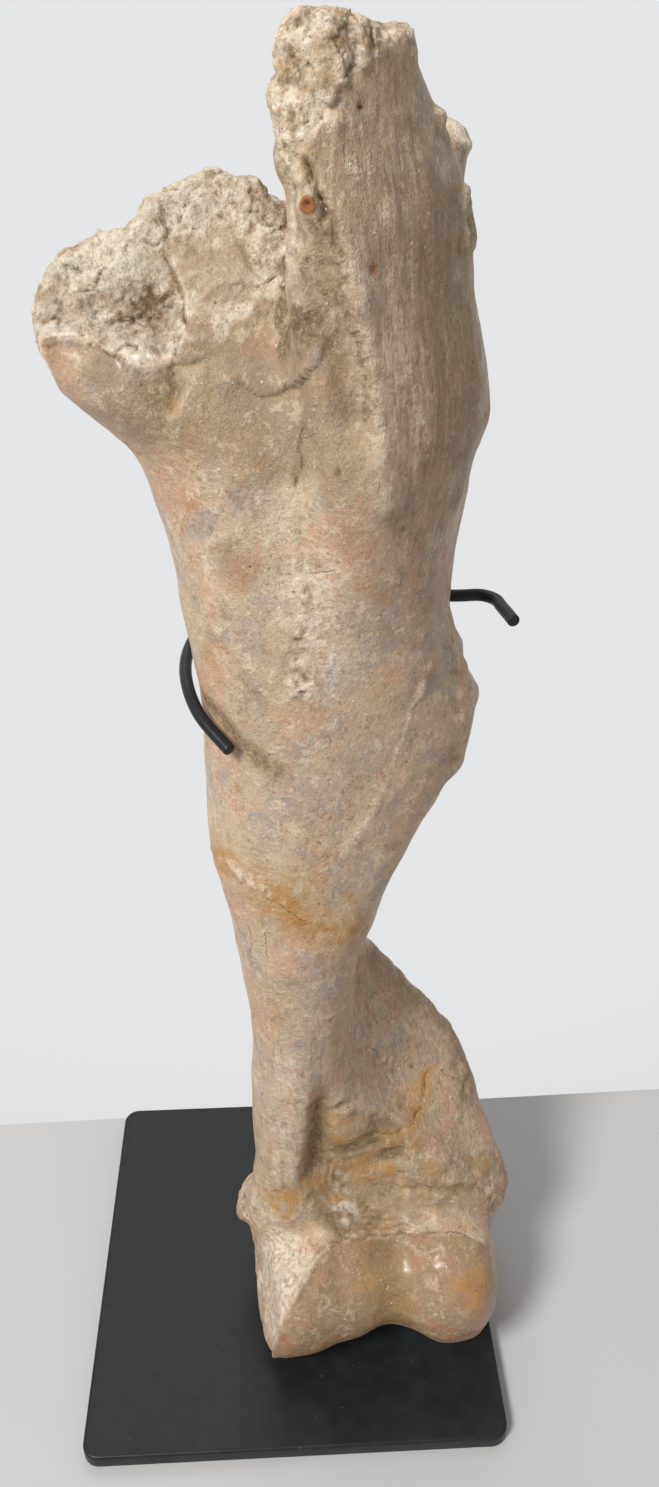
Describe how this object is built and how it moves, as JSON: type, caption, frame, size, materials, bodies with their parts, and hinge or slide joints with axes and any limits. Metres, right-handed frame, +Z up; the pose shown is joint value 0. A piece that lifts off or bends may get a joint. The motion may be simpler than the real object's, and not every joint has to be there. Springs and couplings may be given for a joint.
{
  "type": "mounted fossil rhinoceros humerus",
  "caption": "Fossil upper foreleg bone of a rhinoceros, held upright on a flat black steel display stand by a post and bent rod arms.",
  "frame": {"origin": "middle of the base plate's underside", "axes": "+Z up along the bone, -Y towards the front of the bone, +X towards its outer side"},
  "size_m": [0.1599, 0.1524, 0.4352],
  "materials": {
    "fossil_bone": "satin, varnished",
    "black_paint": "satin black paint"
  },
  "bodies": {
    "root": {"bone": "fossil_bone", "base_plate": "black_paint", "post": "black_paint", "left_arm": "black_paint", "right_arm": "black_paint"}
  },
  "joints": []
}
